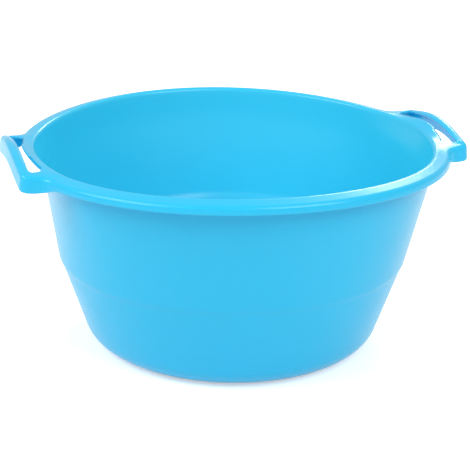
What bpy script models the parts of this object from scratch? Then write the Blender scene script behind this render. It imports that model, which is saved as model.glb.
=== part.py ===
"""A round washing-up basin: one plastic moulding whose rim widens into two slotted lug handles.

The basin stands on z = 0 with its middle on the z axis and a lug on each side, along x.
"""

import math

import bmesh
import bpy
from mathutils import Vector

# The bowl, measured on its inside. Lengths are in metres and angles in degrees.
WALL = 0.0023
CREST_HEIGHT = 0.2035
MOUTH_RADIUS = 0.1937
NECK_HEIGHT = 0.030
NECK_TAPER = 7.0
UPPER_TAPER = 13.7
LOWER_TAPER = 18.6
STEP_TOP = 0.0895
STEP_HEIGHT = 0.0025
STEP_WIDTH = 0.0018
STEP_ROUND = 0.003
NECK_ROUND = 0.020
BASE_ROUND = 0.026
FLOOR_HEIGHT = 0.0048

# The underside: a foot ring round a raised middle, with the gate mark of the mould.
FOOT_WIDTH = 0.006
FOOT_RECESS = 0.0025
FOOT_SLOPE_WIDTH = 0.0012
GATE_RADIUS = 0.004
GATE_DROP = 0.0009

# The rim: a flange that falls outwards from the crest, then turns down into a lip.
RIM_WIDTH = 0.0163
FLANGE_FALL = 0.0038
CREST_ROUND = 0.0040
RIM_ROUND = 0.0048
LIP_DEPTH = 0.0062
LIP_DRAFT = 6.0
RIM_WAVE = 0.0029

# The lugs, in plan and in height. The width is how far a corner stands out from the rim.
LUG_HALF_ANGLE = 17.5
LUG_WIDTH = 0.0190
LUG_BOW = 0.0016
LUG_CORNER_ROUND = 0.0080
LUG_END_SLANT = 33.0
LUG_ROOT_ROUND = 0.016
LUG_LIFT = 0.0172
LUG_FADE_BEYOND = 8.5
LUG_MIDDLE_DEPTH = 0.0180
LUG_CORNER_DEPTH = 0.0150

# The finger slots. The ledge is what is left between the mouth and a slot.
GRIP_WIDTH = 0.0078
SLOT_LEDGE = 0.0118
SLOT_END_ANGLE = 1.2
SLOT_ROUND = 0.0050
CUT_OVERRUN = 0.010

# How finely each stretch is faceted.
BOW_STEPS = 6
CORNER_STEPS = 3
ROOT_STEPS = 3
RIM_STEPS = 12
SLOT_STEPS = 8
SLOT_ROUND_STEPS = 3
BASE_STEPS = 5
CREST_STEPS = 4
LIP_STEPS = 3
GATE_SIDES = 16
EVEN_SHARE = 0.4
SMOOTH_ANGLE = 35.0

QUARTER_TURN = 90.0
HALF_TURN = 180.0

# Worked out from the sizes above.
RIM_RADIUS = MOUTH_RADIUS + RIM_WIDTH
LUG_CORNER_REACH = RIM_RADIUS + LUG_WIDTH
LUG_FADE_ANGLE = LUG_HALF_ANGLE + LUG_FADE_BEYOND
SLOT_INNER_RADIUS = MOUTH_RADIUS + SLOT_LEDGE
SLOT_HALF_ANGLE = LUG_HALF_ANGLE - SLOT_END_ANGLE


def heading(degrees):
    """A unit vector in the plane, at this angle from the first axis."""
    angle = math.radians(degrees)
    return Vector((math.cos(angle), math.sin(angle)))


def azimuth(point):
    return math.degrees(math.atan2(point.y, point.x))


def right_of(direction):
    return Vector((direction.y, -direction.x))


def cross(first, second):
    return first.x * second.y - first.y * second.x


def raised_cosine(share):
    """1 at a share of 0, falling smoothly to 0 at a share of 1 and beyond."""
    return math.cos(math.pi / 2 * min(abs(share), 1.0)) ** 2


def offset_path(corners, distances):
    """The corners of the path that runs each segment's distance to its right."""
    lines = []
    for start, end, distance in zip(corners, corners[1:], distances):
        direction = (end - start).normalized()
        lines.append((start + right_of(direction) * distance, direction))
    moved = [lines[0][0]]
    for (point, direction), (other, turned) in zip(lines, lines[1:]):
        along = cross(other - point, turned) / cross(direction, turned)
        moved.append(point + direction * along)
    last = (corners[-1] - corners[-2]).normalized()
    return moved + [corners[-1] + right_of(last) * distances[-1]]


def rounded_path(corners, rounds, steps):
    """The path with an arc at each inner corner. Its first and last points stay."""
    points = [corners[0]]
    inner = zip(corners, corners[1:], corners[2:], rounds, steps)
    for before, corner, after, radius, count in inner:
        arriving = (corner - before).normalized()
        leaving = (after - corner).normalized()
        turn = math.atan2(cross(arriving, leaving), arriving.dot(leaving))
        side = math.copysign(1, turn)
        start = corner - arriving * radius * math.tan(abs(turn) / 2)
        centre = start - right_of(arriving) * radius * side
        first = azimuth(start - centre)
        for step in range(count + 1):
            angle = first + math.degrees(turn) * step / count
            points.append(centre + heading(angle) * radius)
    return points + [corners[-1]]


def angle_at_level(away, reach, level):
    """The angle at which a point at this reach from a centre lies at a level along away."""
    return away - math.degrees(math.acos(level / reach))


def arc(centre, radius, start, end, steps, hollow=False):
    """Points along an arc, each with the direction that faces out of the material."""
    stations = []
    for step in range(steps + 1):
        ray = heading(start + (end - start) * step / steps)
        stations.append((centre + ray * radius, -ray if hollow else ray))
    return stations


def bow_of_lug():
    """The centre and radius of the shallow arc that bounds a lug on its outer side."""
    corner = heading(LUG_HALF_ANGLE) * LUG_CORNER_REACH
    radius = (corner.y**2 + LUG_BOW**2) / (2 * LUG_BOW)
    return Vector((corner.x + LUG_BOW - radius, 0)), radius


def outline_quarter():
    """The rim's edge from the middle of a lug to the middle of the plain rim.

    A shallow arc, a corner, a straight slanted end, a hollow root and the rim's own circle,
    each tangent to the next.
    """
    origin = Vector((0, 0))
    bow_centre, bow_radius = bow_of_lug()
    corner = heading(LUG_HALF_ANGLE) * LUG_CORNER_REACH
    away = LUG_HALF_ANGLE + QUARTER_TURN - LUG_END_SLANT
    level = corner.dot(heading(away))

    corner_reach = bow_radius - LUG_CORNER_ROUND
    corner_level = level - LUG_CORNER_ROUND - bow_centre.dot(heading(away))
    bow_end = angle_at_level(away, corner_reach, corner_level)
    corner_centre = bow_centre + heading(bow_end) * corner_reach

    root_reach = RIM_RADIUS + LUG_ROOT_ROUND
    rim_start = angle_at_level(away, root_reach, level + LUG_ROOT_ROUND)
    root_centre = heading(rim_start) * root_reach

    bow = arc(bow_centre, bow_radius, 0, bow_end, BOW_STEPS)
    turn = arc(corner_centre, LUG_CORNER_ROUND, bow_end, away, CORNER_STEPS)
    hollow_start = away + HALF_TURN
    hollow_end = rim_start + HALF_TURN
    root = arc(root_centre, LUG_ROOT_ROUND, hollow_start, hollow_end, ROOT_STEPS, True)
    rim = arc(origin, RIM_RADIUS, rim_start, QUARTER_TURN, RIM_STEPS)
    return bow[:-1] + turn + root[:-1] + rim


def stations_round_rim():
    """Each station's wall angle, edge point and outward direction, once round the rim."""
    quarter = outline_quarter()
    lug_count = len(quarter) - RIM_STEPS - 1
    lug_end = azimuth(quarter[lug_count][0])
    stations = []
    for index, (point, outward) in enumerate(quarter):
        even = lug_end * index / lug_count
        angle = azimuth(point)
        if index < lug_count:
            angle += (even - angle) * EVEN_SHARE
        stations.append((angle, point, outward))
    flip = Vector((-1, 1))
    mirrored = [(HALF_TURN - a, p * flip, n * flip) for a, p, n in reversed(stations)]
    half = stations[:-1] + mirrored[:-1]
    return half + [(a + HALF_TURN, -p, -n) for a, p, n in half]


def lug_offset(point):
    """How many degrees a point of the plan lies from the middle of the nearer lug."""
    angle = abs(azimuth(point))
    return min(angle, HALF_TURN - angle)


def edge_height(offset):
    """The height of the rim's outer edge: it rises over each lug in a smooth arch."""
    lift = LUG_LIFT * raised_cosine(offset / LUG_FADE_ANGLE)
    return CREST_HEIGHT - FLANGE_FALL + lift


def edge_depth(offset):
    """How far the lip hangs: least on the plain rim and most at the middle of a lug."""
    if offset < LUG_HALF_ANGLE:
        share = (offset / LUG_HALF_ANGLE) ** 2
        return LUG_MIDDLE_DEPTH + (LUG_CORNER_DEPTH - LUG_MIDDLE_DEPTH) * share
    share = (offset - LUG_HALF_ANGLE) / (LUG_FADE_ANGLE - LUG_HALF_ANGLE)
    return LIP_DEPTH + (LUG_CORNER_DEPTH - LIP_DEPTH) * raised_cosine(share)


def rim_wave(angle, height):
    """The crest dips beside the lugs and rises between them, fading to none at the foot."""
    return -RIM_WAVE * math.cos(math.radians(2 * angle)) * height / CREST_HEIGHT


def bowl_corners():
    """The inside of the bowl from the middle of its floor up to the crest."""
    crest = Vector((MOUTH_RADIUS, CREST_HEIGHT))
    up = Vector((math.tan(math.radians(NECK_TAPER)), 1))
    neck = crest - up * NECK_HEIGHT
    up = Vector((math.tan(math.radians(UPPER_TAPER)), 1))
    step_top = neck - up * (neck.y - STEP_TOP)
    step_foot = step_top - Vector((STEP_WIDTH, STEP_HEIGHT))
    up = Vector((math.tan(math.radians(LOWER_TAPER)), 1))
    base = step_foot - up * (step_foot.y - FLOOR_HEIGHT)
    return [Vector((0, FLOOR_HEIGHT)), base, step_foot, step_top, neck, crest]


def section(reach, offset):
    """The closed section at one station, as points of radius and height.

    It runs out along the inside and over the rim, round the end of the lip, and back along
    the outside to the raised middle of the underside.
    """
    edge = Vector((MOUTH_RADIUS + reach, edge_height(offset)))
    depth = edge_depth(offset)
    lip = edge + Vector((math.tan(math.radians(LIP_DRAFT)), -1)) * depth
    inside = bowl_corners() + [edge, lip]
    outside = offset_path(inside, [FLOOR_HEIGHT] + [WALL] * (len(inside) - 2))

    inner_rounds = [BASE_ROUND, STEP_ROUND, STEP_ROUND, NECK_ROUND, CREST_ROUND, RIM_ROUND]
    sides = [1, -1, 1, 1, -1, -1]
    outer_rounds = [radius + side * WALL for radius, side in zip(inner_rounds, sides)]
    steps = [BASE_STEPS, 1, 1, 1, CREST_STEPS, CREST_STEPS]
    upper = rounded_path(inside, inner_rounds, steps)
    lower = rounded_path(outside, outer_rounds, steps)

    middle = (upper[-1] + lower[-1]) / 2
    start = azimuth(upper[-1] - middle)
    half_round = []
    for step in range(1, LIP_STEPS):
        angle = start - HALF_TURN * step / LIP_STEPS
        half_round.append(middle + heading(angle) * WALL / 2)

    foot = lower[1]
    ring = Vector((foot.x - FOOT_WIDTH, 0))
    recess = ring + Vector((-FOOT_SLOPE_WIDTH, FOOT_RECESS))
    back = list(reversed(lower[1:]))
    return upper[1:] + half_round + back + [ring, recess]


def placed(points, angle, point, outward):
    """The section's points in space.

    The bowl's points lie on the radius at the wall's angle. Those at the rim's edge lie on a
    line square to the edge, so that the lip keeps its thickness round the lug's corners.
    """
    reach = (point - heading(angle) * MOUTH_RADIUS).length
    edge = MOUTH_RADIUS + reach
    split = MOUTH_RADIUS + reach / 2
    spots = []
    for radius, height in points:
        if radius > split:
            spot = point + outward * (radius - edge)
            height += rim_wave(azimuth(point), height)
        else:
            spot = heading(angle) * radius
            height += rim_wave(angle, height)
        spots.append(Vector((spot.x, spot.y, height)))
    return spots


def basin_mesh():
    """The sections lofted once round the axis, with the floor's middle closed above and below."""
    mesh = bmesh.new()
    rings = []
    for angle, point, outward in stations_round_rim():
        reach = (point - heading(angle) * MOUTH_RADIUS).length
        points = section(reach, lug_offset(point))
        spots = placed(points, angle, point, outward)
        rings.append([mesh.verts.new(spot) for spot in spots])
    floor = mesh.verts.new((0, 0, FLOOR_HEIGHT))
    underside = mesh.verts.new((0, 0, FOOT_RECESS))
    for ring, following in zip(rings, rings[1:] + rings[:1]):
        mesh.faces.new((floor, ring[0], following[0]))
        mesh.faces.new((underside, following[-1], ring[-1]))
        for index in range(len(ring) - 1):
            after = index + 1
            corners = (ring[index], ring[after], following[after], following[index])
            mesh.faces.new(corners)
    return mesh


def slot_outline():
    """The plan of the finger slot on the +x side, with rounded corners."""
    bow_centre, bow_radius = bow_of_lug()
    outer_radius = bow_radius - GRIP_WIDTH
    ray = heading(SLOT_HALF_ANGLE)
    along = bow_centre.dot(ray)
    reach = along + math.sqrt(along**2 + outer_radius**2 - bow_centre.length_squared)
    outer_end = azimuth(ray * reach - bow_centre)
    inner = arc(Vector((0, 0)), SLOT_INNER_RADIUS, SLOT_HALF_ANGLE, -SLOT_HALF_ANGLE, SLOT_STEPS)
    outer = arc(bow_centre, outer_radius, -outer_end, outer_end, SLOT_STEPS)
    corners = [point for point, _ in inner + outer]
    ends = (0, SLOT_STEPS, SLOT_STEPS + 1, 2 * SLOT_STEPS + 1)
    outline = []
    for index, corner in enumerate(corners):
        if index not in ends:
            outline.append(corner)
            continue
        following = corners[(index + 1) % len(corners)]
        trio = [corners[index - 1], corner, following]
        outline += rounded_path(trio, [SLOT_ROUND], [SLOT_ROUND_STEPS])[1:-1]
    return outline


def slot_cutter(name, side):
    """An upright prism through a lug. A side of -1 puts it on the opposite lug."""
    bottom = CREST_HEIGHT - LUG_MIDDLE_DEPTH - CUT_OVERRUN
    top = CREST_HEIGHT + LUG_LIFT + CUT_OVERRUN
    mesh = bmesh.new()
    verts = [mesh.verts.new((side * p.x, side * p.y, bottom)) for p in slot_outline()]
    face = mesh.faces.new(verts)
    raised = bmesh.ops.extrude_face_region(mesh, geom=[face])["geom"]
    moved = [item for item in raised if isinstance(item, bmesh.types.BMVert)]
    bmesh.ops.translate(mesh, verts=moved, vec=(0, 0, top - bottom))
    bmesh.ops.recalc_face_normals(mesh, faces=mesh.faces)
    return helper_object(name, mesh)


def gate_mark():
    """The low stud that the mould's gate leaves in the middle of the underside."""
    mesh = bmesh.new()
    top = (FLOOR_HEIGHT + FOOT_RECESS) / 2
    bottom = FOOT_RECESS - GATE_DROP
    bmesh.ops.create_cone(
        mesh,
        cap_ends=True,
        segments=GATE_SIDES,
        radius1=GATE_RADIUS,
        radius2=GATE_RADIUS,
        depth=top - bottom,
    )
    bmesh.ops.translate(mesh, verts=mesh.verts, vec=(0, 0, (top + bottom) / 2))
    return helper_object("gate_mark", mesh)


def linked_object(name, mesh):
    data = bpy.data.meshes.new(name)
    mesh.to_mesh(data)
    mesh.free()
    thing = bpy.data.objects.new(name, data)
    bpy.context.scene.collection.objects.link(thing)
    return thing


def helper_object(name, mesh):
    thing = linked_object(name, mesh)
    thing.hide_render = True
    thing.display_type = "WIRE"
    return thing


def combine(thing, helper, operation):
    modifier = thing.modifiers.new(helper.name, "BOOLEAN")
    modifier.operation = operation
    modifier.solver = "EXACT"
    modifier.object = helper


def basin_plastic():
    material = bpy.data.materials.new("sky_blue_plastic")
    material.use_nodes = True
    shader = material.node_tree.nodes["Principled BSDF"]
    shader.inputs["Base Color"].default_value = (0.055, 0.50, 0.86, 1)
    shader.inputs["Roughness"].default_value = 0.28
    shader.inputs["Metallic"].default_value = 0.0
    return material


def make_basin():
    basin = linked_object("basin", basin_mesh())
    combine(basin, gate_mark(), "UNION")
    combine(basin, slot_cutter("slot_cutter_right", 1), "DIFFERENCE")
    combine(basin, slot_cutter("slot_cutter_left", -1), "DIFFERENCE")
    basin.data.materials.append(basin_plastic())
    basin.data.shade_smooth()
    basin.data.set_sharp_from_angle(angle=math.radians(SMOOTH_ANGLE))
    return basin


for leftover in list(bpy.data.objects):
    bpy.data.objects.remove(leftover)
make_basin()
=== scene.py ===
# %% [markdown]
# # A round washing-up basin
# The basin is one thin-walled plastic moulding: a tapered bowl whose rim rolls outwards and
# widens into two lug handles, each with a slot for the fingers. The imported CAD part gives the
# sizes and the frame. This lesson builds a finer skin for it, gives it its plastic, and sets
# up a plain studio round it.

# %% Load the frame
import math

import bpy
import numpy as np
from mathutils import Matrix, Vector


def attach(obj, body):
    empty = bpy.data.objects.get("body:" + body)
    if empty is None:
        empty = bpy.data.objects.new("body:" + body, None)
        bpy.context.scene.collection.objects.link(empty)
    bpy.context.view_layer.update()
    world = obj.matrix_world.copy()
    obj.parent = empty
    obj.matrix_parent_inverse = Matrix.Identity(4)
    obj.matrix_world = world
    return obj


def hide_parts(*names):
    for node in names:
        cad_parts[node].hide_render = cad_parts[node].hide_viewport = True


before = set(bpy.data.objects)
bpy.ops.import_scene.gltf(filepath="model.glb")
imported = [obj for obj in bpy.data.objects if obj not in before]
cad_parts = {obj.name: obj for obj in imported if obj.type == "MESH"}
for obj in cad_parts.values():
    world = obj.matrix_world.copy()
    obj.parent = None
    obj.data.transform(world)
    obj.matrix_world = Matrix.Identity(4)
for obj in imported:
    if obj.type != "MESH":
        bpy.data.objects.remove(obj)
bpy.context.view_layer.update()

# %% [markdown]
# ## The camera
# The photograph looks down on the basin by about a quarter of a right angle, from a point
# well back, so the two ends of the rim hardly differ in size. A camera is a position, a
# point it looks at and a small roll about that line. It comes first, because every later
# choice is judged through it.

# %% Set up the camera
CAMERA_PLACE = Vector((-0.3878, -1.2684, 0.5802))
CAMERA_TARGET = Vector((0.0026, -0.0008, 0.1022))
CAMERA_LENS = 107.84
CAMERA_ROLL = 1.01
CAMERA_FARTHEST = 50


def look_from(place, target, roll_degrees):
    """The matrix of a camera at a place, looking at a target, rolled about its line of sight."""
    back = (place - target).normalized()
    right = Vector((0, 0, 1)).cross(back).normalized()
    up = back.cross(right)
    roll = math.radians(roll_degrees)
    turned_right = math.cos(roll) * right + math.sin(roll) * up
    turned_up = math.cos(roll) * up - math.sin(roll) * right
    turn = Matrix((turned_right, turned_up, back)).transposed()
    return Matrix.Translation(place) @ turn.to_4x4()


camera_data = bpy.data.cameras.new("camera")
camera_data.lens = CAMERA_LENS
camera_data.clip_end = CAMERA_FARTHEST
camera = bpy.data.objects.new("camera", camera_data)
camera.matrix_world = look_from(CAMERA_PLACE, CAMERA_TARGET, CAMERA_ROLL)
bpy.context.scene.collection.objects.link(camera)
bpy.context.scene.camera = camera
print("camera", round((CAMERA_PLACE - CAMERA_TARGET).length, 3), "m from its target")

# %% [markdown]
# ## Angles and arcs in the plan
# Seen from above, the rim is a circle with a lug on each side. A lug is a shallow arc, a
# rounded corner, a straight slanted end and a hollow root that runs back into the circle.
# Two helpers go between angles and directions, and a third one lays points on an arc.
# Each point of an arc also knows which way is out of the plastic, which the skirt under a
# lug needs later.

# %% Points on arcs
MOUTH_RADIUS = 0.1937
FLANGE_WIDTH = 0.0163
RIM_RADIUS = MOUTH_RADIUS + FLANGE_WIDTH
LUG_HALF_ANGLE = 17.5
LUG_REACH = 0.0190
LUG_CORNER_REACH = RIM_RADIUS + LUG_REACH
LUG_BOW = 0.0016


def ray(degrees):
    """Unit vectors in the plane at these angles: (cos a, sin a)."""
    angle = np.radians(degrees)
    return np.stack([np.cos(angle), np.sin(angle)], -1)


def azimuth(points):
    """The angle of each point of the plan from the x axis, in degrees."""
    return np.degrees(np.arctan2(points[..., 1], points[..., 0]))


def arc_points(centre, radius, start, end, cells, hollow=False):
    """cells + 1 points of an arc, centre + radius (cos a, sin a), each with the direction that
    faces out of the material."""
    out = ray(np.linspace(start, end, cells + 1))
    return centre + out * radius, -out if hollow else out


def lug_bow():
    """Centre and radius of the arc along a lug: radius = (c^2 + b^2) / 2b for half chord c
    and bow b."""
    corner = ray(LUG_HALF_ANGLE) * LUG_CORNER_REACH
    radius = (corner[1] ** 2 + LUG_BOW**2) / (2 * LUG_BOW)
    return np.array([corner[0] + LUG_BOW - radius, 0.0]), radius


bow_centre, bow_radius = lug_bow()
print("a lug bows on a radius of", round(bow_radius, 3), "m")

# %% [markdown]
# ## One quarter of the outline
# Each stretch of the outline is tangent to the next, so it has no kink. The slanted end is a
# line at a known angle, so the corner's arc is found as a circle that touches both the bow
# and that line, and the root's arc as one that touches the line and the rim. One quarter is
# worked out, and the next step mirrors it.

# %% Work out one quarter of the outline
LUG_CORNER_ROUND = 0.0080
LUG_END_SLANT = 33.0
LUG_ROOT_ROUND = 0.016
BOW_CELLS, CORNER_CELLS, END_CELLS, ROOT_CELLS, RIM_CELLS = 44, 10, 8, 12, 50
LUG_CELLS = BOW_CELLS + CORNER_CELLS + END_CELLS + ROOT_CELLS


def outline_quarter():
    """Points and outward directions from the middle of a lug to the middle of the rim.

    Level is how far the end's line lies from the basin's axis. A circle of radius r that
    touches the line has its centre at level - r, or at level + r where its arc is hollow, and
    its angle follows from the cosine.
    """
    away = LUG_HALF_ANGLE + 90 - LUG_END_SLANT
    level = ray(LUG_HALF_ANGLE) @ ray(away) * LUG_CORNER_REACH
    corner_reach = bow_radius - LUG_CORNER_ROUND
    corner_level = level - LUG_CORNER_ROUND - bow_centre @ ray(away)
    bow_end = away - np.degrees(np.arccos(corner_level / corner_reach))
    corner_centre = bow_centre + ray(bow_end) * corner_reach
    root_reach = RIM_RADIUS + LUG_ROOT_ROUND
    rim_start = away - np.degrees(np.arccos((level + LUG_ROOT_ROUND) / root_reach))
    root_centre = ray(rim_start) * root_reach
    root_turn = (away + 180, rim_start + 180)
    bow = arc_points(bow_centre, bow_radius, 0, bow_end, BOW_CELLS)
    turn = arc_points(corner_centre, LUG_CORNER_ROUND, bow_end, away, CORNER_CELLS)
    root = arc_points(root_centre, LUG_ROOT_ROUND, *root_turn, ROOT_CELLS, hollow=True)
    rim = arc_points(np.zeros(2), RIM_RADIUS, rim_start, 90, RIM_CELLS)
    share = np.linspace(0, 1, END_CELLS + 1)[1:-1, None]
    straight = turn[0][-1] + (root[0][0] - turn[0][-1]) * share
    facing = np.repeat(turn[1][-1:], len(share), 0)
    points = np.concatenate([bow[0][:-1], turn[0], straight, root[0][:-1], rim[0]])
    outward = np.concatenate([bow[1][:-1], turn[1], facing, root[1][:-1], rim[1]])
    return points, outward


quarter, quarter_out = outline_quarter()
print("quarter outline", len(quarter), "points, out to", round(quarter[0, 0], 4), "m")

# %% [markdown]
# ## Stations round the rim
# Every point of the outline carries one upright section through the wall. A section starts
# on the bowl's own radius, at a wall angle, and ends on the outline. Along a lug the wall
# angles are evened out, so that the sections fan smoothly between the round bowl and the
# lug's crowded corner.

# %% Make the stations
EVEN_SHARE = 0.4


def stations(points, outward):
    """Wall angle, point and outward direction once round: the quarter, its mirror image in the
    y axis, and both turned half way round."""
    angle = azimuth(points)
    even = angle[LUG_CELLS] * np.linspace(0, 1, LUG_CELLS + 1)
    along_lug = slice(0, LUG_CELLS)
    angle[along_lug] += (even[along_lug] - angle[along_lug]) * EVEN_SHARE
    flip = np.array([-1, 1])
    half_angle = np.concatenate([angle[:-1], (180 - angle[::-1])[:-1]])
    half_point = np.concatenate([points[:-1], (points[::-1] * flip)[:-1]])
    half_out = np.concatenate([outward[:-1], (outward[::-1] * flip)[:-1]])
    return (
        np.concatenate([half_angle, half_angle + 180]),
        np.concatenate([half_point, -half_point]),
        np.concatenate([half_out, -half_out]),
    )


wall_angle, rim_point, rim_out = stations(quarter, quarter_out)
station_count = len(wall_angle)
off_lug = np.abs(azimuth(rim_point))
off_lug = np.minimum(off_lug, 180 - off_lug)
print("stations", station_count)

# %% [markdown]
# ## How the edge rises at a lug
# The outer edge of the rim lies a little lower than its crest. At a lug it climbs in an arch,
# and the lip under it grows into a deep skirt that hides the fingers. Each of these is one
# smooth law of the angle from the lug's middle, so nothing starts with a kink. The whole
# crest also dips at the lugs and rises between them, by a cosine of twice the angle.

# %% Heights and depths round the rim
CREST_HEIGHT = 0.2035
FLANGE_FALL = 0.0038
LIP_DEPTH = 0.0062
RIM_WAVE = 0.0029
LUG_LIFT = 0.0172
LUG_FADE_WIDTH = 8.5
LUG_FADE_ANGLE = LUG_HALF_ANGLE + LUG_FADE_WIDTH
LUG_MIDDLE_DEPTH = 0.0180
LUG_CORNER_DEPTH = 0.0150


def raised_cosine(share):
    """cos^2 of a quarter turn times the share: 1 at 0, falling smoothly to 0 at 1."""
    return np.cos(np.pi / 2 * np.clip(np.abs(share), 0, 1)) ** 2


def edge_height(offset):
    """The outer edge's height: the crest less its fall, plus the lug's arch."""
    return CREST_HEIGHT - FLANGE_FALL + LUG_LIFT * raised_cosine(offset / LUG_FADE_ANGLE)


def edge_depth(offset):
    """How far the lip hangs: a parabola along a lug, then a smooth fall to the plain lip."""
    share = np.clip(offset / LUG_HALF_ANGLE, 0, 1) ** 2
    along = LUG_MIDDLE_DEPTH + (LUG_CORNER_DEPTH - LUG_MIDDLE_DEPTH) * share
    beyond = (offset - LUG_HALF_ANGLE) / (LUG_FADE_ANGLE - LUG_HALF_ANGLE)
    fading = LIP_DEPTH + (LUG_CORNER_DEPTH - LIP_DEPTH) * raised_cosine(beyond)
    return np.where(offset < LUG_HALF_ANGLE, along, fading)


def rim_wave(angle, height):
    """The crest dips at the lugs and rises between them: -wave cos(2a) z / crest."""
    return -RIM_WAVE * np.cos(np.radians(2 * angle)) * height / CREST_HEIGHT


print("edge height at a lug", round(float(edge_height(0)), 4), "m")

# %% [markdown]
# ## Room for the fingers under a lug
# Below each lug the wall is drawn in a little, so that a hand can close round the lug. The
# hollow is widest in the upper wall and fades out at the step, at the crest and to both
# sides. It is a shift of the finished wall inwards, inside and outside alike, so the wall
# keeps its thickness.

# %% The finger recess
STEP_TOP = 0.0910
RECESS_DEPTH = 0.0072
RECESS_HALF_ANGLE = 34.0
RECESS_FULL_HEIGHT = 0.128
RECESS_CEILING = 0.176


def wall_recess(angle, height):
    """How far the wall is drawn in: a raised cosine of the angle from a lug, times one that
    rises from the step's top and one that falls to the crest."""
    offset = np.abs((angle + 90) % 180 - 90)
    below = (RECESS_FULL_HEIGHT - height) / (RECESS_FULL_HEIGHT - STEP_TOP)
    above = (height - RECESS_CEILING) / (CREST_HEIGHT - RECESS_CEILING)
    fade = raised_cosine(np.clip(below, 0, 1)) * raised_cosine(np.clip(above, 0, 1))
    return RECESS_DEPTH * raised_cosine(offset / RECESS_HALF_ANGLE) * fade


print("recess", round(float(wall_recess(0, RECESS_FULL_HEIGHT)), 4), "m deep")

# %% [markdown]
# ## Offsets and rounds as arrays
# The corners of all sections are kept as one array, stations by corners by two, so a
# rounding or an offset is worked out for every station at once. At a corner the arc's
# centre lies on the inner side of the turn, one radius from both runs.

# %% Offset and round the runs
def unit(vectors):
    """Each vector divided by its length."""
    return vectors / np.linalg.norm(vectors, axis=-1, keepdims=True)


def right_of(direction):
    """Each plane vector turned a quarter turn clockwise: (y, -x)."""
    return np.stack([direction[..., 1], -direction[..., 0]], -1)


def turn_of(first, second):
    """The cross product of plane vectors: the sine of the turn from first to second."""
    return first[..., 0] * second[..., 1] - first[..., 1] * second[..., 0]


def offset_runs(corners, distances):
    """Each run moved to its right by its distance; neighbours meet where they cross."""
    direction = unit(corners[:, 1:] - corners[:, :-1])
    start = corners[:, :-1] + right_of(direction) * np.asarray(distances)[:, None]
    first, second = direction[:, :-1], direction[:, 1:]
    gap = start[:, 1:] - start[:, :-1]
    along = turn_of(gap, second) / turn_of(first, second)
    crossing = start[:, :-1] + first * along[..., None]
    last = corners[:, -1] + right_of(direction[:, -1]) * distances[-1]
    return np.concatenate([start[:, :1], crossing, last[:, None]], 1)


def corner_arc(before, corner, after, radius, cells):
    """Arc points at one corner of every station: centre + radius at evenly turned angles. The
    arc starts radius tan(turn / 2) before the corner."""
    arriving, leaving = unit(corner - before), unit(after - corner)
    dot = (arriving * leaving).sum(-1)
    turn = np.arctan2(turn_of(arriving, leaving), dot)
    start = corner - arriving * (radius * np.tan(np.abs(turn) / 2))[:, None]
    centre = start - right_of(arriving) * radius * np.sign(turn)[:, None]
    spoke = start - centre
    swing = turn[:, None] * np.linspace(0, 1, cells + 1)
    cosine, sine = np.cos(swing)[..., None], np.sin(swing)[..., None]
    turned = spoke[:, None] * cosine - right_of(spoke)[:, None] * sine
    return centre[:, None] + turned


def corner_arcs(corners, rounds, cells):
    """One array of arc points for each corner that has a run on both sides."""
    return [
        corner_arc(*np.moveaxis(corners[:, k : k + 3], 1, 0), rounds[k], cells[k])
        for k in range(len(rounds))
    ]


print("right of +x is", right_of(np.array([1.0, 0.0])))

# %% [markdown]
# ## The bowl and the rim in section
# The inside of the bowl is a short row of straight runs: floor, lower wall, a small step,
# upper wall, neck, flange and lip. The step and the start of the neck have broad rounds,
# because the real wall shows only a soft change of tone there. The outside runs one wall
# thickness away from the inside, so its arcs share their centres with the inner ones.

# %% Work out the blocks of the section
WALL = 0.0023
FLOOR_HEIGHT = 0.0048
LIP_DRAFT = 6.0
NECK_HEIGHT, NECK_TAPER = 0.030, 7.0
UPPER_TAPER, LOWER_TAPER = 13.7, 18.6
STEP_HEIGHT, STEP_WIDTH = 0.0055, 0.00267
CORNER_NAMES = ["floor edge", "step foot", "step top", "neck", "crest", "edge"]
INNER_ROUNDS = [0.026, 0.030, 0.020, 0.190, 0.0040, 0.0048]
TURN_SIDES = [1, -1, 1, 1, -1, -1]
ARC_CELLS = [12, 4, 4, 4, 9, 10]


def bowl_corners():
    """The inside of the bowl as corners of radius and height, from the middle of the floor.
    Each run goes down by its height and inwards by its height times the tangent of its taper."""
    slope = [math.tan(math.radians(a)) for a in (NECK_TAPER, UPPER_TAPER, LOWER_TAPER)]
    crest = np.array([MOUTH_RADIUS, CREST_HEIGHT])
    neck = crest - np.array([slope[0], 1]) * NECK_HEIGHT
    top = neck - np.array([slope[1], 1]) * (neck[1] - STEP_TOP)
    foot = top - np.array([STEP_WIDTH, STEP_HEIGHT])
    base = foot - np.array([slope[2], 1]) * (foot[1] - FLOOR_HEIGHT)
    return np.array([[0, FLOOR_HEIGHT], base, foot, top, neck, crest])


reach = np.linalg.norm(rim_point - ray(wall_angle) * MOUTH_RADIUS, axis=1)
edge = np.stack([MOUTH_RADIUS + reach, edge_height(off_lug)], -1)
depth = edge_depth(off_lug)
draft = math.tan(math.radians(LIP_DRAFT))
lip = edge + np.stack([depth * draft, -depth], -1)
bowl = np.repeat(bowl_corners()[None], station_count, 0)
inside = np.concatenate([bowl, edge[:, None], lip[:, None]], 1)
outside = offset_runs(inside, [FLOOR_HEIGHT] + [WALL] * len(CORNER_NAMES))
outer_rounds = [r + side * WALL for r, side in zip(INNER_ROUNDS, TURN_SIDES)]
inner_arcs = dict(zip(CORNER_NAMES, corner_arcs(inside, INNER_ROUNDS, ARC_CELLS)))
outer_arcs = dict(zip(CORNER_NAMES, corner_arcs(outside, outer_rounds, ARC_CELLS)))
print("rounded corners", len(inner_arcs), "inside and", len(outer_arcs), "outside")

# %% [markdown]
# ## From the section to space
# The bowl's rows lie on the radius at the wall angle, and the rows of the edge and the lip
# on a line square to the outline, so that the skirt keeps its thickness round a corner. The
# flange between them is ruled: straight from the crest to the edge.

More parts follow.
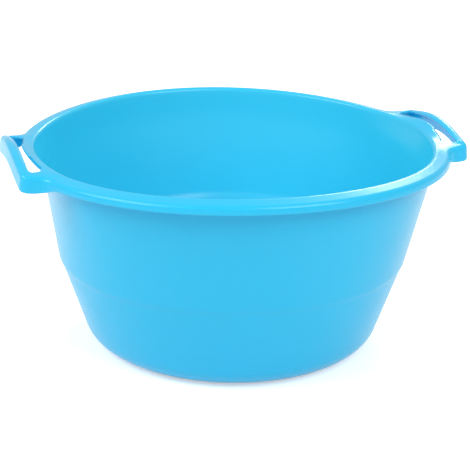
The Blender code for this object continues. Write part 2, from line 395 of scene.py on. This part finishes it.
# %% Place rows in space
def in_space(flat, height, angle):
    """Points of the plan with a height each, which the rim's wave then lifts or lowers."""
    return np.concatenate([flat, (height + rim_wave(angle, height))[..., None]], -1)


def on_radius(rows):
    """(radius, height) rows to space, on the radius at each station's wall angle."""
    angle = wall_angle[:, None]
    radius = rows[..., 0] - wall_recess(angle, rows[..., 1])
    return in_space(ray(wall_angle)[:, None] * radius[..., None], rows[..., 1], angle)


def square_to_edge(rows):
    """(radius, height) rows to space, on the outward line at each station's edge point."""
    away = (rows[..., 0] - (MOUTH_RADIUS + reach)[:, None])[..., None]
    flat = rim_point[:, None] + rim_out[:, None] * away
    return in_space(flat, rows[..., 1], azimuth(rim_point)[:, None])


def ruled(start, end, shares):
    """Rows on the straight line from start to end, at shares that may differ by station:
    start (1 - s) + end s."""
    shares = np.broadcast_to(shares, (len(start), np.shape(shares)[-1]))[..., None]
    return start[:, None] * (1 - shares) + end[:, None] * shares


crest_over = on_radius(inner_arcs["crest"])
edge_over = square_to_edge(inner_arcs["edge"])
crest_under = on_radius(outer_arcs["crest"])
edge_under = square_to_edge(outer_arcs["edge"])
print("crest block", crest_over.shape, "edge block", edge_over.shape)

# %% [markdown]
# ## Where the finger slots lie on the flange
# A slot runs between a circle beside the bowl and an arc beside the lug's outer edge. On
# each ruled line the two shares are found where the line crosses those curves. Away from
# the lugs the shares fade to plain ones, so the rows of the grid flow round the whole rim.

# %% Find the flange's rows
GRIP_WIDTH = 0.0078
SLOT_LEDGE = 0.0118
LIP_HALF = WALL / 2
LEDGE_CELLS, SLOT_CELLS, GRIP_CELLS = 4, 10, 3
PLAIN_INNER_SHARE, PLAIN_OUTER_SHARE = 0.34, 0.78
LARGEST_OUTER_SHARE = 0.88
SHARE_FADE_ANGLE, SHARE_FADE_WIDTH = 17.0, 8.0


def share_at_circle(start, end, centre, radius):
    """The share along start to end where |p - centre| = radius: the larger root of
    a s^2 + 2 b s + c = 0."""
    run, rest = (end - start)[:, :2], start[:, :2] - centre
    a = (run**2).sum(-1)
    b = (run * rest).sum(-1)
    c = (rest**2).sum(-1) - radius**2
    return (-b + np.sqrt(np.maximum(b * b - a * c, 0))) / a


def split(start, end, cells):
    """Shares that divide start to end into equal cells, one row of them for each station."""
    return start[:, None] + (end - start)[:, None] * np.linspace(0, 1, cells + 1)


line_start, line_end = crest_over[:, -1], edge_over[:, 0]
mirror = np.ones((station_count, 3))
mirror[rim_point[:, 0] < 0, 0] = -1
bowl_side = MOUTH_RADIUS + SLOT_LEDGE - LIP_HALF
grip_side = bow_radius - GRIP_WIDTH + LIP_HALF
inner_share = share_at_circle(line_start, line_end, np.zeros(2), bowl_side)
outer_share = share_at_circle(line_start * mirror, line_end * mirror, bow_centre, grip_side)
outer_share = np.minimum(outer_share, LARGEST_OUTER_SHARE)
near_lug = raised_cosine(np.clip((off_lug - SHARE_FADE_ANGLE) / SHARE_FADE_WIDTH, 0, 1))
inner_share = PLAIN_INNER_SHARE + (inner_share - PLAIN_INNER_SHARE) * near_lug
outer_share = PLAIN_OUTER_SHARE + (outer_share - PLAIN_OUTER_SHARE) * near_lug
ledge = inner_share[:, None] * np.linspace(0, 1, LEDGE_CELLS + 1)[1:]
slot = split(inner_share, outer_share, SLOT_CELLS)[:, 1:]
grip = split(outer_share, np.ones(station_count), GRIP_CELLS)[:, 1:-1]
flange_shares = np.concatenate([ledge, slot, grip], 1)
print("flange rows", flange_shares.shape[1])

# %% [markdown]
# ## The flange and the end of the lip
# The flange's upper face is ruled, and its lower face lies one wall thickness under it,
# along a direction that turns evenly from the crest's normal to the edge's. The lip ends in
# a half round, as a moulded edge does: nobody wants a sharp rim under the fingers.

# %% Make the flange and the lip's end
LIP_END_CELLS = 6

over_normal = unit(crest_over[:, -1] - crest_under[:, -1])
edge_normal = unit(edge_over[:, 0] - edge_under[:, 0])
flange_over = ruled(line_start, line_end, flange_shares)
blend = flange_shares[..., None]
across = over_normal[:, None] * (1 - blend) + edge_normal[:, None] * blend
flange_under = flange_over - unit(across) * WALL

lip_over = square_to_edge(inside[:, -1:])
lip_under = square_to_edge(outside[:, -1:])
lip_middle = (inside[:, -1] + outside[:, -1]) / 2
lip_spoke = inside[:, -1] - lip_middle
swing = np.linspace(0, np.pi, LIP_END_CELLS + 1)[1:-1][None, :, None]
lip_end = lip_middle[:, None] + lip_spoke[:, None] * np.cos(swing)
lip_end = square_to_edge(lip_end + right_of(lip_spoke)[:, None] * np.sin(swing))
print("lip end block", lip_end.shape)

# %% [markdown]
# ## The underside
# The basin stands on a foot ring, so the middle of its underside is raised a little and a
# wet basin doesn't suck itself to the table. In the centre is the small stud that is left
# where the plastic was injected. Both are rows of circles, each with its own height.

# %% Make the underside
FOOT_WIDTH = 0.006
FOOT_RECESS = 0.0025
FOOT_SLOPE_WIDTH = 0.0012
FOOT_SLOPE_SHARES = (0, 0.25, 0.5, 0.75, 1)
UNDER_SHARES = (0.88, 0.7, 0.5, 0.3, 0.12)
GATE_RADIUS = 0.004
GATE_DROP = 0.0009
GATE_RADIUS_SHARES = (1.3, 1.1, 1.0, 0.97, 0.9, 0.6)
GATE_DROP_SHARES = (0, 0.05, 0.25, 0.75, 0.97, 1)


def foot_row(radii, height):
    """One row of the underside: circles of these radii at this height."""
    radii, heights = np.broadcast_arrays(radii, np.full(station_count, height))
    return on_radius(np.stack([radii, heights], -1)[:, None])


foot_radius = outer_arcs["floor edge"][:, 0, 0]
slope_start = foot_radius - FOOT_WIDTH
underside = [foot_row(foot_radius - FOOT_WIDTH / 2, 0.0)]
for share in FOOT_SLOPE_SHARES:
    rise = FOOT_RECESS * (1 - raised_cosine(share))
    underside.append(foot_row(slope_start - FOOT_SLOPE_WIDTH * share, rise))
underside += [foot_row(foot_radius * share, FOOT_RECESS) for share in UNDER_SHARES]
for radius_share, drop_share in zip(GATE_RADIUS_SHARES, GATE_DROP_SHARES):
    gate_height = FOOT_RECESS - GATE_DROP * drop_share
    underside.append(foot_row(GATE_RADIUS * radius_share, gate_height))
print("underside rows", len(underside))

# %% [markdown]
# ## One grid for the whole moulding
# All rows are joined into a single closed loop per station, so the finished skin has an
# inside, an outside and a true thickness everywhere. The rows go up the inside, over the
# crest, across the flange, round the edge, down the lip, round its end and back along the
# outside. The rows at which the flange's two faces start are noted, because the finger slots
# are opened in them.

# %% Join the rows
FLOOR_SHARES = (0.06, 0.2, 0.4, 0.6, 0.8, 0.93)
WALL_ROWS, RIM_ROWS = 7, 3


def between(first, second, rows):
    """Rows on the straight run between the last row of one block and the first of the next."""
    return ruled(first[:, -1], second[:, 0], np.linspace(0, 1, rows + 2)[1:-1])


def rows_in(blocks):
    """How many rows these blocks have in all."""
    return sum(block.shape[1] for block in blocks)


bowl_names = CORNER_NAMES[: CORNER_NAMES.index("crest")]
edge_in, foot_in, top_in, neck_in = (on_radius(inner_arcs[name]) for name in bowl_names)
edge_out, foot_out, top_out, neck_out = (
    on_radius(outer_arcs[name][:, ::-1]) for name in bowl_names
)
crest_back, edge_back = crest_under[:, ::-1], edge_under[:, ::-1]
floor_middle = np.repeat(np.array([[0, 0, FLOOR_HEIGHT]]), station_count, 0)
floor_rows = ruled(floor_middle, edge_in[:, 0], np.array(FLOOR_SHARES))
bowl_inside = [floor_rows, edge_in, between(edge_in, foot_in, WALL_ROWS), foot_in, top_in]
bowl_inside += [between(top_in, neck_in, WALL_ROWS), neck_in]
bowl_inside += [between(neck_in, crest_over, RIM_ROWS), crest_over]
round_edge = [edge_over, between(edge_over, lip_over, RIM_ROWS), lip_over, lip_end]
round_edge += [lip_under, between(lip_under, edge_back, RIM_ROWS), edge_back]
bowl_outside = [crest_back, between(crest_back, neck_out, RIM_ROWS), neck_out]
bowl_outside += [between(neck_out, top_out, WALL_ROWS), top_out, foot_out]
bowl_outside += [between(foot_out, edge_out, WALL_ROWS), edge_out]
flange_rows = flange_over.shape[1]
first_row = rows_in(bowl_inside)
under_row = first_row + flange_rows + rows_in(round_edge)
over_blocks = bowl_inside + [flange_over] + round_edge
grid = np.concatenate(over_blocks + [flange_under[:, ::-1]] + bowl_outside + underside, 1)
print("grid", grid.shape[:2], "flange rows from", first_row, "and", under_row)

# %% [markdown]
# ## The slot's window
# A slot is a window of grid cells left out of the flange, above and below. Its rows are
# known already. How many stations it spans follows from the angle at which the slot ends.

# %% Choose the window
SLOT_END_MARGIN = 1.2
SLOT_HALF_ANGLE = LUG_HALF_ANGLE - SLOT_END_MARGIN

half_turn_index = station_count // 2
slot_first, slot_last = LEDGE_CELLS - 1, LEDGE_CELLS - 1 + SLOT_CELLS
middle_row = (slot_first + slot_last) // 2
middle_azimuth = azimuth(flange_over[: len(quarter), middle_row])
set_back = math.degrees(LIP_HALF / MOUTH_RADIUS)
slot_reach = int(np.argmin(np.abs(middle_azimuth - SLOT_HALF_ANGLE - set_back)))


def under_index(row):
    """The grid row under a given flange row: the underside runs the other way."""
    return under_row + flange_rows - 1 - row


print("a slot spans", 2 * slot_reach, "stations")

# %% [markdown]
# ## Rounding the slot's corners
# A window of cells has square corners, and a moulded slot has round ones. The grid lines
# near each corner are moved onto a circle, and those further off follow less and less, so
# the cells stay well shaped. The lower face moves with the upper one.

# %% Round the window's corners
SLOT_ROUND = 0.0050
CORNER_RADIUS = SLOT_ROUND + LIP_HALF
CORNER_FADE = 1.6 * CORNER_RADIUS
CORNER_STATIONS = 16
ALONG_STATIONS, ACROSS_ROWS = 8, 5
LEAST_LENGTH = 1e-9


def moved_side(local):
    """How each point near a corner moves, in axes along and across the window's sides.

    With x and y both towards the window, a side point q goes to c + r (q - c) / |q - c| for
    the centre c = (r, r). Points outside follow the nearest side point, less with distance.
    """
    x, y = local[..., 0], local[..., 1]
    side_x = np.where((x > 0) & (y > 0) & (x < y), 0, np.clip(x, 0, None))
    side_y = np.where((x > 0) & (y > 0) & (y <= x), 0, np.clip(y, 0, None))
    side = np.stack([side_x, side_y], -1)
    spoke = side - CORNER_RADIUS
    length = np.maximum(np.linalg.norm(spoke, axis=-1, keepdims=True), LEAST_LENGTH)
    onto = CORNER_RADIUS + spoke * (CORNER_RADIUS / length)
    gap = np.linalg.norm(local - side, axis=-1)
    beside_corner = np.maximum(side_x, side_y) < CORNER_RADIUS
    weight = np.where(beside_corner, raised_cosine(gap / CORNER_FADE), 0)
    return (onto - side) * weight[..., None]


def round_corner(station, row, along, across_step):
    """Moves the grid's points near one corner of a window, above and below: each step in the
    local axes becomes step_x first_axis + step_y second_axis."""
    columns = (station + np.arange(-CORNER_STATIONS, CORNER_STATIONS + 1)) % station_count
    rows = np.arange(flange_rows)
    corner = grid[station % station_count, first_row + row]
    far_station = (station + ALONG_STATIONS * along) % station_count
    far_row = first_row + row + ACROSS_ROWS * across_step
    along_far = grid[far_station, first_row + row] - corner
    across_far = grid[station % station_count, far_row] - corner
    first_axis = along_far / np.linalg.norm(along_far[:2])
    second_axis = across_far / np.linalg.norm(across_far[:2])
    basis = np.stack([first_axis[:2], second_axis[:2]], 1)
    top = grid[np.ix_(columns, first_row + rows)]
    move = moved_side((top - corner)[..., :2] @ np.linalg.inv(basis).T)
    step = move[..., :1] * first_axis + move[..., 1:] * second_axis
    grid[np.ix_(columns, first_row + rows)] += step
    grid[np.ix_(columns, under_index(rows))] += step


corners_rounded = 0
for middle in (0, half_turn_index):
    for sign in (1, -1):
        for row, across_step in ((slot_first, 1), (slot_last, -1)):
            round_corner(middle + sign * slot_reach, row, -sign, across_step)
            corners_rounded += 1
print("rounded", corners_rounded, "slot corners")

# %% [markdown]
# ## The band round a slot
# The upper and the lower window are joined by a half-round band, which is what a moulder
# does so that the handle doesn't cut the fingers. The two rims of the window are walked in
# step, and a half circle is turned from each upper point to the lower one, bulging into the
# slot.

# %% Walk round a window and bridge it
BAND_CELLS = 6


def window_loop(middle):
    """Station and flange row of every grid point round a window, in order."""
    reach_range = np.arange(-slot_reach, slot_reach + 1)
    row_range = np.arange(slot_first, slot_last + 1)
    ends = np.full(SLOT_CELLS, slot_reach)
    sides = np.ones_like(reach_range)
    stations_round = [reach_range, ends, reach_range[::-1][1:], -ends[1:]]
    rows_round = [sides * slot_first, row_range[1:], sides[1:] * slot_last, row_range[::-1][1:-1]]
    return (middle + np.concatenate(stations_round)) % station_count, np.concatenate(rows_round)


def half_round_band(top, bottom):
    """Rows from top to bottom: m + h cos t + d |h| sin t, with m their middle, h half their
    difference and d the direction into the slot."""
    middle, half = (top + bottom) / 2, (top - bottom) / 2
    along = np.roll(top, -1, 0) - np.roll(top, 1, 0)
    inward = unit(np.cross(half, along))
    inward *= np.sign((inward * (top.mean(0) - top)).sum(-1, keepdims=True))
    turn = np.linspace(0, np.pi, BAND_CELLS + 1)[1:-1][:, None, None]
    size = np.linalg.norm(half, axis=-1, keepdims=True)
    return middle + half * np.cos(turn) + inward * size * np.sin(turn)


def quads_of(index):
    """Quads between neighbouring rows and columns of an index array."""
    corners = [index[:-1, :-1], index[1:, :-1], index[1:, 1:], index[:-1, 1:]]
    return np.stack(corners, -1).reshape(-1, 4)


print("a window has", len(window_loop(0)[0]), "points round it")

# %% [markdown]
# ## Faces and poles
# The grid's cells become quads, apart from those in the windows. The rows end in the middle
# of the floor and in the middle of the underside, and a fan of triangles round one point
# closes each of them.

# %% Make the faces
rows_total = grid.shape[1]
index = np.arange(station_count * rows_total).reshape(station_count, rows_total)
ring = np.concatenate([index, index[:1]])
cells = np.stack([ring[:-1, :-1], ring[:-1, 1:], ring[1:, 1:], ring[1:, :-1]], -1)
keep = np.ones(cells.shape[:2], bool)
points, band_quads = [grid.reshape(-1, 3)], []
next_index = index.size
window_rows = np.arange(slot_first, slot_last)
for middle in (0, half_turn_index):
    columns = (middle + np.arange(-slot_reach, slot_reach)) % station_count
    keep[np.ix_(columns, first_row + window_rows)] = False
    keep[np.ix_(columns, under_index(window_rows) - 1)] = False
    at_station, at_row = window_loop(middle)
    top_index = index[at_station, first_row + at_row]
    bottom_index = index[at_station, under_index(at_row)]
    band = half_round_band(points[0][top_index], points[0][bottom_index]).reshape(-1, 3)
    band_index = next_index + np.arange(len(band)).reshape(BAND_CELLS - 1, -1)
    next_index += len(band)
    rings = np.concatenate([top_index[None], band_index, bottom_index[None]])
    band_quads.append(quads_of(np.concatenate([rings, rings[:, :1]], 1)))
    points.append(band)
points.append(np.array([[0, 0, FLOOR_HEIGHT], [0, 0, FOOT_RECESS - GATE_DROP]]))
points = np.concatenate(points)
quads = np.concatenate([cells[keep]] + band_quads)
floor_pole = np.full(station_count, next_index)
floor_fan = np.stack([floor_pole, ring[:-1, 0], ring[1:, 0]], -1)
under_fan = np.stack([floor_pole + 1, ring[1:, -1], ring[:-1, -1]], -1)
fans = np.concatenate([floor_fan, under_fan])
print("quads", len(quads), "and fan triangles", len(fans))

# %% [markdown]
# ## Which points are inside the bowl
# The inside of the bowl gets a slightly paler, greener colour than the rest. This is painted
# light that stands in for light through the thin wall. A number on every point says how much it
# belongs there: 1 up the wall, fading to 0 over the rounded crest.

# %% Mark the inside
crest_rows = ARC_CELLS[CORNER_NAMES.index("crest")] + 1
past_crest_start = np.arange(rows_total) - first_row + crest_rows
inner_rows = raised_cosine(np.maximum(past_crest_start, 0) / crest_rows)
inner_painted_light = np.zeros(len(points), np.float32)
inner_painted_light[: index.size] = np.tile(inner_rows, station_count)
inner_painted_light[next_index] = 1
print("points inside the bowl", int((inner_painted_light == 1).sum()))

# %% [markdown]
# ## From arrays to a mesh
# Blender takes whole arrays through foreach_set, which is far quicker than adding points one
# by one. A closed surface also has a signed volume, which tells whether its faces point
# outwards, so the skin can be turned the right way before it is made.

# %% Build the skin
def mesh_from_arrays(name, points, quads, triangles):
    """A mesh object from arrays of points, quads and triangles, smooth shaded."""
    data = bpy.data.meshes.new(name)
    data.vertices.add(len(points))
    data.vertices.foreach_set("co", points.astype(np.float32).ravel())
    corners = np.concatenate([quads.ravel(), triangles.ravel()]).astype(np.int32)
    sizes = np.concatenate([np.full(len(quads), 4), np.full(len(triangles), 3)])
    starts = np.concatenate([[0], np.cumsum(sizes)[:-1]]).astype(np.int32)
    data.loops.add(len(corners))
    data.loops.foreach_set("vertex_index", corners)
    data.polygons.add(len(sizes))
    data.polygons.foreach_set("loop_start", starts)
    data.polygons.foreach_set("use_smooth", np.ones(len(sizes), bool))
    data.update(calc_edges=True)
    data.validate()
    thing = bpy.data.objects.new(name, data)
    bpy.context.scene.collection.objects.link(thing)
    return thing


def volume_inside(points, quads, triangles):
    """The signed volume, a sum of p0 . (p1 x p2) / 6: positive where faces point outwards."""
    triples = np.concatenate([quads[:, [0, 1, 2]], quads[:, [0, 2, 3]], triangles])
    p, q, r = (points[triples[:, k]] for k in range(3))
    return float((p * np.cross(q, r)).sum() / 6)


volume = volume_inside(points, quads, fans)
if volume < 0:
    quads, fans = quads[:, ::-1], fans[:, ::-1]
basin_skin = mesh_from_arrays("basin_skin", points, quads, fans)
# The mark for the painted inner light goes on every point.
side_mark = basin_skin.data.attributes.new("inner_painted_light", "FLOAT", "POINT")
side_mark.data.foreach_set("value", inner_painted_light)
print("skin", len(points), "points,", 2 * len(quads) + len(fans), "triangles")
print("plastic in the skin", round(abs(volume) * 1e6), "ml")

# %% [markdown]
# ## Shader maths as expressions
# A small class wraps a shader socket, so that sums and products of sockets read as sums and
# products in Python, and each one adds its own Math node. Every other node comes from one
# method, which sets a node's settings before its sockets.

# %% Wrap a socket
class Wire:
    """A socket in a node tree, with arithmetic. Without a socket it is the bare tree."""

    def __init__(self, tree, socket=None):
        self.tree, self.socket = tree, socket

    def node(self, kind, settings=None, inputs=None, output=0):
        """Adds a node: its settings first, then its sockets' values or links. Gives an output,
        or the bare tree for a node that has none."""
        made = self.tree.nodes.new(kind)
        for name, value in (settings or {}).items():
            setattr(made, name, value)
        for name, value in (inputs or {}).items():
            if isinstance(value, Wire):
                self.tree.links.new(value.socket, made.inputs[name])
            else:
                made.inputs[name].default_value = value
        return Wire(self.tree, made.outputs[output] if made.outputs else None)

    def math(self, operation, *values):
        """Adds a Math node on this socket and these values."""
        inputs = dict(enumerate((self, *values)))
        return self.node("ShaderNodeMath", {"operation": operation}, inputs)

    def __add__(self, other):
        return self.math("ADD", other)

    def __mul__(self, other):
        return self.math("MULTIPLY", other)

    __radd__, __rmul__ = __add__, __mul__


def new_material(name):
    """A material without nodes, and its bare tree."""
    material = bpy.data.materials.new(name)
    material.use_nodes = True
    material.node_tree.nodes.clear()
    return material, Wire(material.node_tree)


print("socket class ready")

# %% [markdown]
# ## Sky-blue plastic
# The moulding is polypropylene coloured in the mass: an even sky blue with a soft gloss. Its
# thin wall lets a little light through, and that light is painted into the colour: the inside
# of the bowl gets a painted-light copy of the blue, slightly paler and greener than the
# outside, and the mark on the points says where each colour goes. A broad, faint unevenness
# keeps it from looking like paint, and a very fine grain breaks up the reflections as the
# mould's polish does.

# %% Make the plastic
PLASTIC_BLUE = (0.017, 0.525, 0.850, 1)
# Painted light: a paler, greener copy of the blue for the inside of the bowl, standing in for
# light through its thin wall.
INNER_PAINTED_LIGHT_BLUE = (0.040, 0.605, 0.850, 1)
INNER_LEAST, INNER_UNEVENNESS = 0.95, 0.05
BROAD_SCALE, FINE_SCALE = 9.0, 700.0
ROUGHNESS_LEAST, ROUGHNESS_BROAD, ROUGHNESS_FINE = 0.20, 0.05, 0.03
GRAIN_STRENGTH, GRAIN_HEIGHT = 0.05, 0.0004
PLASTIC_IOR, PLASTIC_GLOSS = 1.49, 0.4

plastic, tree = new_material("sky_blue_plastic")
place = tree.node("ShaderNodeTexCoord", output="Object")
broad_look = {"Vector": place, "Scale": BROAD_SCALE, "Detail": 2.0}
fine_look = {"Vector": place, "Scale": FINE_SCALE, "Detail": 1.0}
broad = tree.node("ShaderNodeTexNoise", inputs=broad_look)
fine = tree.node("ShaderNodeTexNoise", inputs=fine_look)
side = tree.node("ShaderNodeAttribute", {"attribute_name": "inner_painted_light"}, output="Fac")
# Painted light: the inner mark mixes the lit copy of the blue into the inside of the bowl.
painted_light_share = side * (INNER_LEAST + broad * INNER_UNEVENNESS)
colours = {0: painted_light_share, 6: PLASTIC_BLUE, 7: INNER_PAINTED_LIGHT_BLUE}
colour = tree.node("ShaderNodeMix", {"data_type": "RGBA"}, colours, 2)
roughness = ROUGHNESS_LEAST + broad * ROUGHNESS_BROAD + fine * ROUGHNESS_FINE
grain = {"Strength": GRAIN_STRENGTH, "Distance": GRAIN_HEIGHT, "Height": fine}
finish = {
    "Base Color": colour,
    "Roughness": roughness,
    "Normal": tree.node("ShaderNodeBump", inputs=grain),
    "IOR": PLASTIC_IOR,
    "Specular IOR Level": PLASTIC_GLOSS,
}
plastic_surface = tree.node("ShaderNodeBsdfPrincipled", inputs=finish)
tree.node("ShaderNodeOutputMaterial", inputs={"Surface": plastic_surface})
print("plastic", len(plastic.node_tree.nodes), "nodes")

# %% [markdown]
# ## The skin takes the CAD node's place
# The plastic goes on the skin and on the CAD node alike. The skin rides on the part's only
# body and stands in for the node "basin" in every picture.

# %% Dress the basin
basin_skin.data.materials.append(plastic)
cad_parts["basin"].data.materials.clear()
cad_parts["basin"].data.materials.append(plastic)
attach(basin_skin, "root")
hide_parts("basin")
print("skin rides on root")

# %% [markdown]
# ## A white floor
# The photograph has a pure white ground. More light would bleach the basin too, so the floor
# is a pale paint that also glows, for camera rays and for reflections only, which leaves the
# basin's soft contact shadow. It lies a hair below the foot ring, so the two never share a
# plane.

# %% Lay the floor
FLOOR_SIZE = 30.0
FLOOR_DROP = 0.0002
FLOOR_PAINT = (0.86, 0.86, 0.86, 1)
GLOW_SEEN, GLOW_MIRRORED = 0.45, 0.30
WHITE = (1, 1, 1, 1)


def ray_is(tree, kind):
    """1 for a ray of this kind, such as Camera or Glossy, and 0 for any other."""
    return tree.node("ShaderNodeLightPath", output=f"Is {kind} Ray")


half, low = FLOOR_SIZE / 2, -FLOOR_DROP
floor_corners = [(-half, -half, low), (half, -half, low), (half, half, low), (-half, half, low)]
floor_data = bpy.data.meshes.new("floor")
floor_data.from_pydata(floor_corners, [], [(0, 1, 2, 3)])
floor = bpy.data.objects.new("floor", floor_data)
bpy.context.scene.collection.objects.link(floor)
floor_material, tree = new_material("white_floor")
seen, mirrored, passed = (ray_is(tree, kind) for kind in ("Camera", "Glossy", "Transmission"))
glow_level = seen * GLOW_SEEN + (mirrored + passed) * GLOW_MIRRORED
paint = tree.node("ShaderNodeBsdfDiffuse", inputs={"Color": FLOOR_PAINT})
glow = tree.node("ShaderNodeEmission", inputs={"Color": WHITE, "Strength": glow_level})
floor_surface = tree.node("ShaderNodeAddShader", inputs={0: paint, 1: glow})
tree.node("ShaderNodeOutputMaterial", inputs={"Surface": floor_surface})
floor_data.materials.append(floor_material)
print("floor", FLOOR_SIZE, "m across")

# %% [markdown]
# ## The room's own light
# An even white world lights the basin from everywhere at a plain level. Camera rays, and
# rays that pass through something, see it at full white, so the background matches the
# floor while the basin gets no more light for it.

# %% Light the world
WORLD_LEVEL = 0.60

world = bpy.data.worlds.new("studio")
bpy.context.scene.world = world
world.use_nodes = True
world.node_tree.nodes.clear()
tree = Wire(world.node_tree)
level = WORLD_LEVEL + (ray_is(tree, "Camera") + ray_is(tree, "Transmission")) * (1 - WORLD_LEVEL)
sky = tree.node("ShaderNodeBackground", inputs={"Color": WHITE, "Strength": level})
tree.node("ShaderNodeOutputWorld", inputs={"Surface": sky})
print("world level", WORLD_LEVEL)

# %% [markdown]
# ## Soft boxes
# A small soft box stands behind the basin, where the photograph's glare on the near right
# rim comes from. Two large panels light the basin from the left and from the right. They
# stand high, because a low panel would show as a patch of sheen on the far inner wall.

# %% Set up the soft boxes
LAMP_DISTANCE = 2.2
LAMP_TARGET = Vector((0, 0, 0.15))


def soft_box(name, azimuth_degrees, elevation, size, power):
    """An area light at an azimuth and elevation from the basin, facing it: target + distance
    (cos e cos a, cos e sin a, sin e)."""
    lamp = bpy.data.lights.new(name, "AREA")
    lamp.shape = "RECTANGLE"
    lamp.size, lamp.size_y = size
    lamp.energy = power
    thing = bpy.data.objects.new(name, lamp)
    rise, turn = math.radians(elevation), math.radians(azimuth_degrees)
    flat = math.cos(rise) * LAMP_DISTANCE
    away = Vector((flat * math.cos(turn), flat * math.sin(turn), math.sin(rise) * LAMP_DISTANCE))
    thing.matrix_world = look_from(LAMP_TARGET + away, LAMP_TARGET, 0)
    bpy.context.scene.collection.objects.link(thing)


soft_box("key", azimuth_degrees=58, elevation=28, size=(0.5, 0.6), power=9.8)
soft_box("left_panel", azimuth_degrees=187, elevation=40, size=(1.5, 1.1), power=21)
soft_box("right_panel", azimuth_degrees=294, elevation=42, size=(1.3, 1.1), power=18)
print("lights", len(bpy.data.lights))

# %% [markdown]
# ## The last settings
# The Standard view shows a colour as it is written.

# %% Close the scene
bpy.context.scene.view_settings.view_transform = "Standard"
